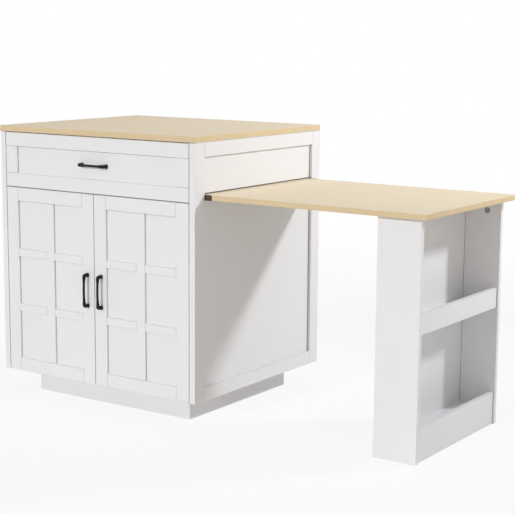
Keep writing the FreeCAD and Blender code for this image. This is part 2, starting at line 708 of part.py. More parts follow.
def make_drawer_front():
    """The drawer's front: a panel with two long rails and two short stiles laid on it."""
    width = ("-(front_x)", "front_x")
    height = ("drawer_front_low", "drawer_front_top")
    panel = board("drawer_front_panel", width, ("strip_back_y", "front_back_y"), height)
    middle_z = "drawer_middle_z - (drawer_front_low)"
    feet = [(f"front_x + {sign} * handle_spacing / 2", middle_z) for sign in (-1, 1)]
    drill(panel, "y", 1, "0", "front_panel_thickness", feet, "screw_radius + screw_clearance")
    keep(panel)
    strip_y = ("front_y", "strip_back_y")
    keep_group("drawer_front_rails", [
        board("drawer_rail_bottom", width, strip_y,
              ("drawer_front_low", "drawer_front_low + front_rail_width"), ("-y",)),
        board("drawer_rail_top", width, strip_y,
              ("drawer_front_top - front_rail_width", "drawer_front_top"), ("-y",)),
    ])
    between = ("drawer_front_low + front_rail_width", "drawer_front_top - front_rail_width")
    keep_group("drawer_front_stiles", [
        board(f"drawer_stile_{word}", mirrored(side, "front_x - front_stile_width", "front_x"),
              strip_y, between, ("-y",))
        for word, side in (("left", -1), ("right", 1))
    ])


def make_drawer_box():
    """Four grooved boards round a thin bottom, with the handle's screws through the front."""
    height = ("box_low", "box_high")
    groove_z = (
        "drawer_bottom_height - drawer_groove_clearance",
        "drawer_bottom_height + drawer_bottom_thickness + drawer_groove_clearance",
    )
    for word, side in (("left", -1), ("right", 1)):
        wall = board(f"drawer_box_{word}", mirrored(side, "box_x - drawer_wall", "box_x"),
                     ("front_back_y", "box_rear_y"), height)
        start = "0" if side > 0 else "drawer_wall"
        cut_outline(wall, "x", side, start, "drawer_groove_depth",
                    rectangle(("0", "drawer_length"), groove_z))
        keep(wall)
    inside = ("-(box_x - drawer_wall)", "box_x - drawer_wall")
    length = across(*inside)
    middle_x = f"({length}) / 2"
    for word, span, start, direction in (
        ("front", ("front_back_y", "front_back_y + drawer_wall"), "drawer_wall", -1),
        ("back", ("box_rear_y - drawer_wall", "box_rear_y"), "0", 1),
    ):
        wall = board(f"drawer_box_{word}", inside, span, height)
        cut_outline(wall, "y", direction, start, "drawer_groove_depth",
                    rectangle(("0", length), groove_z))
        if word == "front":
            middle_z = "drawer_middle_z - (box_low)"
            feet = [(f"{middle_x} + {sign} * handle_spacing / 2", middle_z) for sign in (-1, 1)]
            drill(wall, "y", 1, "0", "drawer_wall", feet, "screw_radius + screw_clearance")
        keep(wall)
    lap = "drawer_groove_depth - drawer_groove_clearance"
    keep(board(
        "drawer_bottom", (f"{inside[0]} - ({lap})", f"{inside[1]} + {lap}"),
        (f"front_back_y + drawer_wall - ({lap})", f"box_rear_y - drawer_wall + {lap}"),
        ("box_floor", "box_floor + drawer_bottom_thickness"),
    ))
    make_handle("drawer_handle", ("0", "strip_back_y", "drawer_middle_z"), False)
    keep_group("drawer_screws", [
        make_screw(
            f"drawer_screw_{index}",
            (f"{sign} * handle_spacing / 2", "front_back_y + drawer_wall", "drawer_middle_z"),
            "drawer_wall + front_panel_thickness + screw_grip",
        )
        for index, sign in enumerate((-1, 1), start=1)
    ])


def make_drawer_slides():
    """Three nested channels on each side: on the body, between, and on the drawer box."""
    members = {
        "cabinet": ("0", "slide_flange", -1),
        "middle": ("slide_web_step", "slide_flange", -1),
        "drawer": ("2 * (slide_web_step)", "slide_space - 2 * (slide_web_step)", 1),
    }
    labels = {
        "cabinet": "drawer_guides", "middle": "drawer_middle_slides", "drawer": "drawer_slides",
    }
    for nesting, (member, (from_side, depth, inwards)) in enumerate(members.items()):
        shrink = f"{nesting} * (slide_step)"
        height = f"(slide_height - 2 * {shrink})"
        pair = []
        for side in (-1, 1):
            x = mirrored(side, f"inner_x - ({from_side}) - ({depth})", f"inner_x - ({from_side})")
            body = new_body(
                f"slide_{member}_{'left' if side < 0 else 'right'}",
                (x[0], "carcass_y", f"slide_z - {height} / 2"),
            )
            outline = channel(side * inwards, height, depth, "slide_wall")
            extrude(body, "y", outline, "drawer_length - carcass_setback")
            pair.append(body)
        keep_group(labels[member], pair)


def make_table_guides():
    """Two channels on the cross rails that the table's runners slide in."""
    guides = []
    for word, side in (("front", -1), ("rear", 1)):
        y = mirrored(side, "guide_y - guide_flange", "guide_y")
        body = new_body(f"table_guide_{word}", ("-(inner_x)", y[0], "guide_low"))
        outline = channel(-side, "(guide_high - (guide_low))", "guide_flange", "guide_wall")
        extrude(body, "x", outline, "2 * (inner_x)")
        guides.append(body)
    keep_group("table_guides", guides)


def make_table():
    """The table board with the steel runners on its two long edges."""
    height = ("leaf_low", "leaf_top_height")
    leaf = board("table_leaf", ("leaf_inner_x", "leaf_outer_x"), ("-(leaf_y)", "leaf_y"), height,
                 ALL_FACES, "worktop_ease")
    bolts = [
        ("cam_x - (leaf_inner_x)", f"leaf_y + {side} * (rack_y - rack_side_thickness / 2)")
        for side in (-1, 1)
    ]
    drill(leaf, "z", 1, "0", "cam_bolt_grip", bolts, "cam_bolt_radius + cam_bolt_clearance")
    keep(leaf)
    keep_group("table_runners", [
        board(f"table_runner_{word}", ("leaf_inner_x", "side_x + runner_show"),
              mirrored(side, "leaf_y", "runner_y"), height, ("+x", "-x"))
        for word, side in (("front", -1), ("rear", 1))
    ])


def make_rack():
    """The shelf rack that carries the table's outer end, open away from the body."""
    side_z = ("glide_height", "leaf_low")
    rack_x = ("rack_inner_x", "rack_outer_x")
    cam_at = ("cam_x - (rack_inner_x)", "cam_z - glide_height")
    for word, side in (("front", -1), ("rear", 1)):
        wall = board(f"rack_side_{word}", rack_x, mirrored(side, "rack_inner_y", "rack_y"), side_z,
                     ("-x", "+x"))
        start = "0" if side > 0 else "rack_side_thickness"
        drill(wall, "y", side, start, "cam_thickness", [cam_at], "cam_radius + cam_clearance")
        drill(wall, "z", -1, across(*side_z), "cam_drop",
              [(cam_at[0], "rack_side_thickness / 2")], "cam_bolt_radius + cam_bolt_clearance")
        keep(wall)
    between = ("-(rack_inner_y)", "rack_inner_y")
    shelf_x = ("rack_wall_x", "rail_inner_x")
    rail_x = ("rail_inner_x", "rail_outer_x")
    keep(board("rack_back_panel", ("rack_back_x", "rack_wall_x"), between,
               ("rack_back_low", "leaf_low")))
    shelf_low = "rack_shelf_height - rack_shelf_thickness"
    keep(board("rack_middle_shelf", shelf_x, between, (shelf_low, "rack_shelf_height")))
    keep(board("rack_bottom_shelf", shelf_x, between,
               ("rack_base_height - rack_shelf_thickness", "rack_base_height")))
    keep(board("rack_guard_rail", rail_x, between, (shelf_low, f"{shelf_low} + guard_rail_height"),
               ("+x", "-x")))
    keep(board("rack_kick_rail", rail_x, between, ("kick_rail_low", "kick_rail_top"),
               ("+x", "-x")))


def make_cam_fittings():
    """A round cam in each rack side, with the bolt that it draws down out of the table."""
    pieces = []
    for side in (-1, 1):
        middle_y = f"{side} * (rack_y - rack_side_thickness / 2)"
        along_y = FreeCAD.Rotation(FreeCAD.Vector(1, 0, 0), 90 * -side)
        cam = new_body(f"cam_{len(pieces) + 1}", ("cam_x", f"{side} * (rack_inner_y)", "cam_z"), along_y)
        disc = cam.newObject("PartDesign::AdditiveCylinder", "Disc")
        bind(disc, "Radius", "cam_radius")
        bind(disc, "Height", "cam_thickness")
        doc.recompute([cam])
        arm = "cam_radius * 0.55"
        half = "cam_radius * 0.12"
        for u, v in ((arm, half), (half, arm)):
            cut_outline(cam, "z", 1, "0", "cam_thickness / 4",
                        rectangle((f"-{u}", u), (f"-{v}", v)))
        bolt = doc.addObject("Part::Cylinder", "cam_bolt")
        bind(bolt, "Radius", "cam_bolt_radius")
        bind(bolt, "Height", "cam_drop - cam_radius + cam_bolt_grip - cam_clearance")
        place(bolt, ("cam_x", middle_y, "cam_z + cam_radius + cam_clearance"))
        pieces += [cam, bolt]
    keep_group("cam_fittings", pieces)


def make_glides():
    """Four thin round glides under the ends of the rack sides."""
    glides = []
    for side in (-1, 1):
        for x in ("rack_inner_x + glide_inset", "rack_outer_x - glide_inset"):
            glide = doc.addObject("Part::Cylinder", "floor_glide")
            bind(glide, "Radius", "glide_radius")
            bind(glide, "Height", "glide_height")
            place(glide, (x, f"{side} * (rack_y - rack_side_thickness / 2)", "0"))
            glides.append(glide)
    keep_group("rack_glides", glides)


make_worktop()
make_plinth()
make_side("left", -1)
make_side("right", 1)
make_carcass()
make_shelf_pins()
make_table_guides()
make_hinge_arms()
make_door("left", -1)
make_door("right", 1)
make_drawer_front()
make_drawer_box()
make_drawer_slides()
make_table()
make_rack()
make_cam_fittings()
make_glides()
doc.recompute()

for thing in doc.Objects:
    if "Invalid" in thing.State or "Error" in thing.State:
        raise RuntimeError(f"{thing.Label} did not rebuild: {thing.State}")
for node in nodes:
    if node.Shape.isNull() or not node.Shape.isValid():
        raise RuntimeError(f"{node.Label} has no valid shape")

os.makedirs("parts", exist_ok=True)
for node in nodes:
    node.Shape.exportStep(f"parts/{node.Label}.step")
print(f"{len(nodes)} sub-parts, {sum(len(node.Shape.Solids) for node in nodes)} solids")
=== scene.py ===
"""Looks, light and camera for a kitchen island with a pull-out table on a shelf rack. Metres."""
import json
import logging
import math
from dataclasses import dataclass, field
from enum import Enum

import bmesh
import bpy
from mathutils import Matrix, Vector


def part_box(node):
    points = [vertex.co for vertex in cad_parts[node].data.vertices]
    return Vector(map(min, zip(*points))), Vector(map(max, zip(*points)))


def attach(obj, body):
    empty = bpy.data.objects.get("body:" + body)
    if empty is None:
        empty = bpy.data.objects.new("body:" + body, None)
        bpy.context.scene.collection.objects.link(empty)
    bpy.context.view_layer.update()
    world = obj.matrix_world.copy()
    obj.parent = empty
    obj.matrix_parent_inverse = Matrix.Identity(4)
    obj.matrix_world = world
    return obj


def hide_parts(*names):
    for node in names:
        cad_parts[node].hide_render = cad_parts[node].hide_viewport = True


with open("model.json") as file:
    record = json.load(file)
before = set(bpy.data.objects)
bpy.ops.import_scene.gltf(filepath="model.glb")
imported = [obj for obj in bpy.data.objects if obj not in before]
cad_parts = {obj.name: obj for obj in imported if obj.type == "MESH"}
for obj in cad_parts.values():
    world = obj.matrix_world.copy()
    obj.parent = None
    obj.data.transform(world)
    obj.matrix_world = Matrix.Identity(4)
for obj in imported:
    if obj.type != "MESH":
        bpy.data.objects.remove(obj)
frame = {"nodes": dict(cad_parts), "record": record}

LOG = logging.getLogger("island")
Colour = tuple[float, float, float]
Outline = tuple[tuple[float, float], ...]
SHARP_DEGREES = 35.0  # edges that turn more than this stay sharp
MERGE_DISTANCE = 1e-6


class Body(Enum):
    """The moving bodies of the island."""

    CABINET = "cabinet"
    LEFT_DOOR = "left_door"
    RIGHT_DOOR = "right_door"
    DRAWER = "drawer"
    TABLE = "table"


class Facing(Enum):
    """The ways a round fitting can look out of its board."""

    FRONT = (0.0, -1.0, 0.0)
    BACK = (0.0, 1.0, 0.0)
    LEFT = (-1.0, 0.0, 0.0)
    RIGHT = (1.0, 0.0, 0.0)

    def turn(self) -> Matrix:
        """Return the rotation that takes +Z to this direction."""
        return Vector((0, 0, 1)).rotation_difference(Vector(self.value)).to_matrix().to_4x4()


# ---------------------------------------------------------------- materials


class Nodes:
    """A short way to add and join the nodes of one tree."""

    def __init__(self, tree: bpy.types.NodeTree) -> None:
        """Start on an empty tree.

        Args:
            tree: the tree of a material, a world or a node group.
        """
        self.tree = tree
        tree.nodes.clear()

    def add(self, kind: str, inputs: dict | None = None, **settings: object) -> bpy.types.Node:
        """Add a node.

        Args:
            kind: the node's type, without its ShaderNode prefix.
            inputs: values or sockets for its inputs, by name or number.
            settings: properties of the node.

        Returns:
            The new node.
        """
        prefix = "" if kind.startswith("Node") else "ShaderNode"
        node = self.tree.nodes.new(prefix + kind)
        for name, setting in settings.items():
            setattr(node, name, setting)
        for name, given in (inputs or {}).items():
            socket = node.inputs[name]
            if isinstance(given, bpy.types.NodeSocket):
                self.tree.links.new(given, socket)
            else:
                socket.default_value = given
        return node

    def math(self, operation: str, *values: object) -> bpy.types.NodeSocket:
        """Return the result of a Math node on up to three values or sockets."""
        return self.add("Math", dict(enumerate(values)), operation=operation).outputs[0]

    def remap(self, given: object, low: float, high: float, to_low: float = 0.0,
              to_high: float = 1.0) -> bpy.types.NodeSocket:
        """Return a value moved from one range to another, held inside the second.

        Args:
            given: a value or socket.
            low: start of its range.
            high: end of its range.
            to_low: what low becomes.
            to_high: what high becomes.

        Returns:
            The socket of the new value.
        """
        node = self.add("MapRange", {0: given, 1: low, 2: high, 3: to_low, 4: to_high})
        return node.outputs[0]

    def blend(self, factor: object, first: object, second: object) -> bpy.types.NodeSocket:
        """Return a mix of two colours."""
        node = self.add("Mix", {0: factor, 6: first, 7: second}, data_type="RGBA")
        return node.outputs[2]

    def group(self, tree: bpy.types.NodeTree, **inputs: object) -> bpy.types.Node:
        """Return a node that holds a shared group, with its inputs by their names in lower case."""
        named = {name.title(): given for name, given in inputs.items()}
        return self.add("Group", named, node_tree=tree)


def colour4(colour: Colour) -> tuple[float, float, float, float]:
    """Return a colour with full alpha."""
    return (*colour, 1.0)


def start_group(name: str, inputs: dict[str, float | None], outputs: list[str]) -> Nodes:
    """Start a shared shader node group.

    Args:
        name: the group's name.
        inputs: socket names with their defaults, None for a vector.
        outputs: names of the float outputs.

    Returns:
        The group's tree, ready for nodes.
    """
    tree = bpy.data.node_groups.new(name, "ShaderNodeTree")
    nodes = Nodes(tree)
    for socket_name, default in inputs.items():
        kind = "NodeSocketVector" if default is None else "NodeSocketFloat"
        socket = tree.interface.new_socket(socket_name, in_out="INPUT", socket_type=kind)
        if default is not None:
            socket.default_value = default
    for socket_name in outputs:
        tree.interface.new_socket(socket_name, in_out="OUTPUT", socket_type="NodeSocketFloat")
    return nodes


@dataclass
class SharedEffects:
    """Effects that several finishes use, each a node group.

    fine_ratio and fine_share are the scale and weight of the drift's finer noise against its wide
    noise. ripple_ratio and ripple_share are those of the speckle's wider noise. bend_scale is the
    scale of the noise that bends the grain. patch_scale is that of the steel's dull patches.
    """

    fine_ratio: float = 6.5
    fine_share: float = 0.35
    ripple_ratio: float = 0.28
    ripple_share: float = 0.6
    bend_scale: float = 1.7
    patch_scale: float = 35.0
    drift: bpy.types.NodeTree = field(init=False)
    speckle: bpy.types.NodeTree = field(init=False)
    grain: bpy.types.NodeTree = field(init=False)
    brushing: bpy.types.NodeTree = field(init=False)

    def __post_init__(self) -> None:
        """Build every group once."""
        self.drift = self.build_drift()
        self.speckle = self.build_speckle()
        self.grain = self.build_grain()
        self.brushing = self.build_brushing()

    def build_drift(self) -> bpy.types.NodeTree:
        """Return slow, soft unevenness, as in sprayed paint or handled board."""
        nodes = start_group("slow_drift", {"Vector": None, "Scale": 3.0}, ["Amount"])
        entry = nodes.add("NodeGroupInput").outputs
        wide = nodes.add("TexNoise", {"Vector": entry["Vector"], "Scale": entry["Scale"],
                                      "Detail": 3.0, "Roughness": 0.5})
        finer_scale = nodes.math("MULTIPLY", entry["Scale"], self.fine_ratio)
        fine = nodes.add("TexNoise", {"Vector": entry["Vector"], "Scale": finer_scale,
                                      "Detail": 2.0, "Roughness": 0.6})
        both = nodes.math("MULTIPLY_ADD", fine.outputs["Fac"], self.fine_share, wide.outputs["Fac"])
        nodes.add("NodeGroupOutput", {"Amount": nodes.remap(both, 0.45, 0.9)})
        return nodes.tree

    def build_speckle(self) -> bpy.types.NodeTree:
        """Return fine stipple, as on lacquered or faced board and cast plastic."""
        nodes = start_group("fine_speckle", {"Vector": None, "Scale": 500.0}, ["Height", "Fleck"])
        entry = nodes.add("NodeGroupInput").outputs
        peel = nodes.add("TexNoise", {"Vector": entry["Vector"], "Scale": entry["Scale"],
                                      "Detail": 2.0, "Roughness": 0.45})
        wide_scale = nodes.math("MULTIPLY", entry["Scale"], self.ripple_ratio)
        wide = nodes.add("TexNoise", {"Vector": entry["Vector"], "Scale": wide_scale,
                                      "Detail": 1.0})
        height = nodes.math("MULTIPLY_ADD", wide.outputs["Fac"], self.ripple_share,
                            peel.outputs["Fac"])
        fleck = nodes.remap(peel.outputs["Fac"], 0.58, 0.74)
        nodes.add("NodeGroupOutput", {"Height": height, "Fleck": fleck})
        return nodes.tree

    def build_grain(self) -> bpy.types.NodeTree:
        """Return wood grain along X: broad bands, fine fibres and short dark pores."""
        sockets = {"Vector": None, "Width": 0.02, "Wander": 0.25}
        nodes = start_group("wood_grain", sockets, ["Bands", "Fibres", "Pores"])
        entry = nodes.add("NodeGroupInput").outputs
        across = nodes.math("DIVIDE", 1.0, entry["Width"])
        bent = nodes.add("TexNoise", {"Vector": entry["Vector"], "Scale": self.bend_scale,
                                      "Detail": 2.0})
        drifted = nodes.add("VectorMath", {0: bent.outputs["Color"], 1: (0.5, 0.5, 0.5)},
                            operation="SUBTRACT")
        scaled = nodes.add("VectorMath", {0: drifted.outputs[0], "Scale": entry["Wander"]},
                           operation="SCALE")
        moved = nodes.add("VectorMath", {0: entry["Vector"], 1: scaled.outputs[0]}, operation="ADD")
        parts = nodes.add("SeparateXYZ", {0: moved.outputs[0]})

        def streaks(along: float, stretch: float, detail: float) -> bpy.types.NodeSocket:
            """Return noise drawn out along X.

            Args:
                along: streaks in a metre along the grain.
                stretch: streaks in the grain's width across it.
                detail: octaves of the noise.

            Returns:
                The noise, 0 to 1.
            """
            wide = nodes.math("MULTIPLY", across, stretch)
            vector = nodes.add("CombineXYZ", {
                0: nodes.math("MULTIPLY", parts.outputs[0], along),
                1: nodes.math("MULTIPLY", parts.outputs[1], wide),
                2: nodes.math("MULTIPLY", parts.outputs[2], wide),
            })
            noise = nodes.add("TexNoise", {"Vector": vector.outputs[0], "Scale": 1.0,
                                           "Detail": detail, "Roughness": 0.55})
            return noise.outputs["Fac"]

        bands = nodes.remap(streaks(1.2, 1.0, 3.0), 0.3, 0.7)
        fibres = nodes.remap(streaks(9.0, 9.0, 3.0), 0.25, 0.75)
        pores = nodes.remap(streaks(38.0, 22.0, 1.0), 0.62, 0.72)
        nodes.add("NodeGroupOutput", {"Bands": bands, "Fibres": fibres, "Pores": pores})
        return nodes.tree

    def build_brushing(self) -> bpy.types.NodeTree:
        """Return the fine lines and dull patches of rolled and plated steel."""
        nodes = start_group("rolled_steel", {"Vector": None, "Lines": 900.0}, ["Lines", "Patches"])
        entry = nodes.add("NodeGroupInput").outputs
        drawn = nodes.add("Mapping", {"Vector": entry["Vector"], "Scale": (0.25, 0.03, 1.0)})
        lines = nodes.add("TexNoise", {"Vector": drawn.outputs[0], "Scale": entry["Lines"],
                                       "Detail": 2.0})
        patches = nodes.add("TexNoise", {"Vector": entry["Vector"],
                                         "Scale": self.patch_scale, "Detail": 4.0})
        nodes.add("NodeGroupOutput", {
            "Lines": nodes.remap(lines.outputs["Fac"], 0.3, 0.7),
            "Patches": nodes.remap(patches.outputs["Fac"], 0.4, 0.7),
        })
        return nodes.tree


@dataclass(frozen=True)
class Finish:
    """A surface finish of the island.

    name is the record's material slot. colour is the plain colour. shade is what the colour
    drifts towards. rough_low and rough_high are the ends of its roughness. bump is the strength of
    its relief.
    """

    name: str
    colour: Colour
    shade: Colour
    rough_low: float
    rough_high: float
    bump: float = field(default=0.6, kw_only=True)

    def build(self, effects: SharedEffects) -> bpy.types.Material:
        """Return the finish as a material.

        Args:
            effects: the node groups that finishes share.

        Returns:
            The new material.
        """
        raise NotImplementedError

    def start(self) -> tuple[bpy.types.Material, Nodes, bpy.types.NodeSocket]:
        """Return a new material, its nodes and its Object coordinates."""
        material = bpy.data.materials.new(self.name)
        material.use_nodes = True
        nodes = Nodes(material.node_tree)
        return material, nodes, nodes.add("TexCoord").outputs["Object"]

    def close(self, nodes: Nodes, base: object, rough: object, height: object, depth: float,
              constants: dict[str, float]) -> None:
        """End a material in one Principled shader.

        Args:
            nodes: the material's nodes.
            base: socket of the base colour.
            rough: socket of the roughness.
            height: socket of the relief.
            depth: relief in metres.
            constants: plain values on the shader, by socket name.
        """
        bump = nodes.add("Bump", {"Height": height, "Distance": depth, "Strength": self.bump})
        shader = nodes.add("BsdfPrincipled", {"Base Color": base, "Roughness": rough,
                                              "Normal": bump.outputs[0], **constants})
        nodes.add("OutputMaterial", {"Surface": shader.outputs[0]})


@dataclass(frozen=True)
class PaintedBoard(Finish):
    """Sprayed or faced board: even colour, fine stipple, slow drift and painted shade in its
    corners.

    stipple is the scale of the fine relief and relief its height. drift_scale is the scale of the
    drift. fleck is the share of darker dots and fleck_tone their share of the colour. The fields
    after fleck_tone paint shade into the corners where boards meet: its colour, how dark it gets,
    and how far from its corner it goes, in metres, less than any gap beside a moving piece. The
    lean turns the look round a corner towards the sky, so the painted shade falls under a rail, as
    a shadow from above would, and not on top of it. The last two are the open shares of that look
    with full painted shade and with none.
    """

    stipple: float = 420.0
    relief: float = 0.00012
    drift_scale: float = 2.6
    fleck: float = 0.0
    fleck_tone: float = 0.8
    # Painted shade for the corners where boards meet: its colour and settings.
    joint: Colour = (0.11, 0.10, 0.09)
    painted_crease_shade: float = 0.0
    crease_shade_reach: float = 0.0019
    crease_shade_lean: float = 1.5
    crease_shade_shut: float = 0.62
    crease_shade_open: float = 0.91

    def add_painted_crease_shade(self, nodes: Nodes, base: bpy.types.NodeSocket) -> bpy.types.NodeSocket:
        """Paint shade into the corners where boards meet, falling under a rail as a shadow would.

        Args:
            nodes: the material's nodes.
            base: socket of the base colour.

        Returns:
            The socket of the new base colour.
        """
        # Painted shade: an occlusion look, leaned towards the sky, darkens the corners where boards
        # meet and the panel under a rail, as a shadow from above would.
        normal = nodes.add("NewGeometry").outputs["Normal"]
        tilted = nodes.add("VectorMath", {0: normal, 1: (0.0, 0.0, self.crease_shade_lean)},
                           operation="ADD")
        skyward = nodes.add("VectorMath", {0: tilted.outputs[0]}, operation="NORMALIZE")
        open_share = nodes.add("AmbientOcclusion", {"Distance": self.crease_shade_reach,
                                                    "Normal": skyward.outputs[0]}, samples=16)
        painted_crease = nodes.remap(open_share.outputs["AO"], self.crease_shade_shut, self.crease_shade_open,
                             self.painted_crease_shade, 0.0)
        # Painted shade is kept off faces that look up, such as the tops of rails.
        upward = nodes.add("SeparateXYZ", {0: normal}).outputs[2]
        painted_crease = nodes.math("MULTIPLY", painted_crease, nodes.remap(upward, 0.3, 0.9, 1.0, 0.0))
        return nodes.blend(painted_crease, base, colour4(self.joint))

    def build(self, effects: SharedEffects) -> bpy.types.Material:
        """Return the finish as a material."""
        material, nodes, place = self.start()
        drift = nodes.group(effects.drift, vector=place, scale=self.drift_scale).outputs["Amount"]
        stipple = nodes.group(effects.speckle, vector=place, scale=self.stipple)
        base = nodes.blend(drift, colour4(self.colour), colour4(self.shade))
        flecked = tuple(part * self.fleck_tone for part in self.colour)
        dots = nodes.math("MULTIPLY", stipple.outputs["Fleck"], self.fleck)
        base = nodes.blend(dots, base, colour4(flecked))
        # Painted shade in the corners where boards meet.
        if self.painted_crease_shade:
            base = self.add_painted_crease_shade(nodes, base)
        rough = nodes.remap(drift, 0.0, 1.0, self.rough_low, self.rough_high)
        self.close(nodes, base, rough, stipple.outputs["Height"], self.relief, {})
        return material


@dataclass(frozen=True)
class WoodBoard(Finish):
    """Pale wood: quiet grain along X on the wide faces and a deeper tone on the edges.

    edge is the colour of the edges and band_tone the share of it in their darker bands. pore is
    the colour of fibres and pores, fibre_amount and pore_amount their weights. width is that of
    the broad bands and wander how far they bend, both in metres. drift_scale is the scale of the
    slow drift. relief is the depth of the pores. specular is the level of the varnish's shine.
    """

    edge: Colour = (0.70, 0.54, 0.33)
    pore: Colour = (0.55, 0.42, 0.26)
    width: float = 0.022
    wander: float = 0.03
    drift_scale: float = 1.8
    band_tone: float = 0.93
    fibre_amount: float = 0.10
    pore_amount: float = 0.18
    relief: float = 0.00006
    specular: float = 0.25

    def build(self, effects: SharedEffects) -> bpy.types.Material:
        """Return the finish as a material."""
        material, nodes, place = self.start()
        grain = nodes.group(effects.grain, vector=place, width=self.width, wander=self.wander)
        drift = nodes.group(effects.drift, vector=place, scale=self.drift_scale).outputs["Amount"]
        tone = nodes.math("MULTIPLY_ADD", grain.outputs["Bands"], 0.55,
                          nodes.math("MULTIPLY", drift, 0.45))
        base = nodes.blend(tone, colour4(self.colour), colour4(self.shade))
        facing = nodes.add("SeparateXYZ", {0: nodes.add("TexCoord").outputs["Normal"]}).outputs[2]
        wide_face = nodes.remap(nodes.math("ABSOLUTE", facing), 0.55, 0.85)
        edge_tone = nodes.blend(grain.outputs["Bands"], colour4(self.edge),
                                colour4(tuple(part * self.band_tone for part in self.edge)))
        base = nodes.blend(wide_face, edge_tone, base)
        fibres = nodes.math("MULTIPLY", nodes.remap(grain.outputs["Fibres"], 0.45, 1.0),
                            self.fibre_amount)
        base = nodes.blend(fibres, base, colour4(self.pore))
        pores = nodes.math("MULTIPLY", grain.outputs["Pores"], self.pore_amount)
        base = nodes.blend(pores, base, colour4(self.pore))
        rough = nodes.math("ADD", nodes.remap(drift, 0.0, 1.0, self.rough_low, self.rough_high),
                           nodes.math("MULTIPLY", grain.outputs["Pores"], 0.08))
        height = nodes.math("SUBTRACT", nodes.math("MULTIPLY", grain.outputs["Fibres"], 0.5),
                            grain.outputs["Pores"])
        self.close(nodes, base, rough, height, self.relief, {"Specular IOR Level": self.specular})
        return material


@dataclass(frozen=True)
class RubbedBlack(Finish):
    """Black coated metal that brown metal shows through where hands rub it.

    rub_share is how much of the brown, rubbed, shows in the worn dots.
    """

    rubbed: Colour = (0.10, 0.055, 0.03)
    rub_share: float = 0.7
    drift_scale: float = 38.0
    stipple: float = 1400.0
    relief: float = 0.00008
    specular: float = 0.2

    def build(self, effects: SharedEffects) -> bpy.types.Material:
        """Return the finish as a material."""
        material, nodes, place = self.start()
        drift = nodes.group(effects.drift, vector=place, scale=self.drift_scale).outputs["Amount"]
        stipple = nodes.group(effects.speckle, vector=place, scale=self.stipple)
        base = nodes.blend(drift, colour4(self.colour), colour4(self.shade))
        worn = nodes.math("MULTIPLY", stipple.outputs["Fleck"],
                          nodes.remap(drift, 0.45, 0.9, 0.0, self.rub_share))
        base = nodes.blend(worn, base, colour4(self.rubbed))
        rough = nodes.remap(drift, 0.0, 1.0, self.rough_low, self.rough_high)
        self.close(nodes, base, rough, stipple.outputs["Height"], self.relief,
                   {"Specular IOR Level": self.specular})
        return material


@dataclass(frozen=True)
class PlatedSteel(Finish):
    """Rolled steel with a thin plating, dull in patches. lines is the scale of its fine lines."""

    metallic: float = 1.0
    lines: float = 900.0
    relief: float = 0.00003

    def build(self, effects: SharedEffects) -> bpy.types.Material:
        """Return the finish as a material."""
        material, nodes, place = self.start()
        brushing = nodes.group(effects.brushing, vector=place, lines=self.lines)
        base = nodes.blend(brushing.outputs["Patches"], colour4(self.colour), colour4(self.shade))
        mixed = nodes.math("MULTIPLY_ADD", brushing.outputs["Lines"], 0.4,
                           nodes.math("MULTIPLY", brushing.outputs["Patches"], 0.6))
        rough = nodes.remap(mixed, 0.0, 1.0, self.rough_low, self.rough_high)
        self.close(nodes, base, rough, brushing.outputs["Lines"], self.relief,
                   {"Metallic": self.metallic})
        return material


@dataclass
class FinishSet:
    """All finishes of the island, by the record's slots."""

    materials: dict[str, bpy.types.Material] = field(default_factory=dict)

    def build(self) -> None:
        """Build every finish."""
        effects = SharedEffects()
        finishes = [
            # The white lacquer carries painted shade in the corners where its boards meet.
            PaintedBoard("white_lacquer", (0.845, 0.845, 0.862), (0.825, 0.825, 0.838), 0.40, 0.52,
                         painted_crease_shade=1.0),
            PaintedBoard("inner_board", (0.80, 0.795, 0.775), (0.77, 0.765, 0.74), 0.50, 0.62,
                         stipple=900.0, relief=0.00008, fleck=0.25),
            WoodBoard("oak_top", (0.76, 0.66, 0.50), (0.735, 0.635, 0.472), 0.66, 0.76,
                      edge=(0.755, 0.60, 0.375)),
            WoodBoard("raw_board", (0.66, 0.52, 0.34), (0.56, 0.42, 0.25), 0.62, 0.74,
                      edge=(0.60, 0.46, 0.29), width=0.012, pore_amount=0.35),
            RubbedBlack("black_handle", (0.004, 0.0035, 0.003), (0.010, 0.008, 0.006), 0.42, 0.55),
            PlatedSteel("dark_steel", (0.090, 0.072, 0.045), (0.060, 0.050, 0.034), 0.38, 0.58,
                        metallic=0.6),
            PlatedSteel("zinc_steel", (0.60, 0.61, 0.63), (0.46, 0.47, 0.49), 0.24, 0.42),
            PlatedSteel("nickel_steel", (0.58, 0.56, 0.53), (0.44, 0.42, 0.40), 0.18, 0.34,
                        lines=1500.0),
            PaintedBoard("glide_plastic", (0.76, 0.76, 0.74), (0.70, 0.70, 0.68), 0.35, 0.5,
                         stipple=1100.0, relief=0.00005),
        ]
        for finish in finishes:
            self.materials[finish.name] = finish.build(effects)

    def dress(self, piece: bpy.types.Object, slot: str) -> None:
        """Give a piece one finish.

        Args:
            piece: the mesh object.
            slot: the record's slot of that finish.
        """
        piece.data.materials.clear()
        piece.data.materials.append(self.materials[slot])

    def fit(self, bm: bmesh.types.BMesh, name: str, slot: str, body: Body) -> bpy.types.Object:
        """Turn a bmesh into a finished piece that rides on a body.

        Args:
            bm: the shape, in the row frame. It is freed here.
            name: the piece's name.
            slot: the record's slot of its finish.
            body: the body that carries it.

        Returns:
            The linked piece.
        """
        piece = finish_mesh(bm, name)
        self.dress(piece, slot)
        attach(piece, body.value)
        return piece


# ---------------------------------------------------------------- modelling helpers


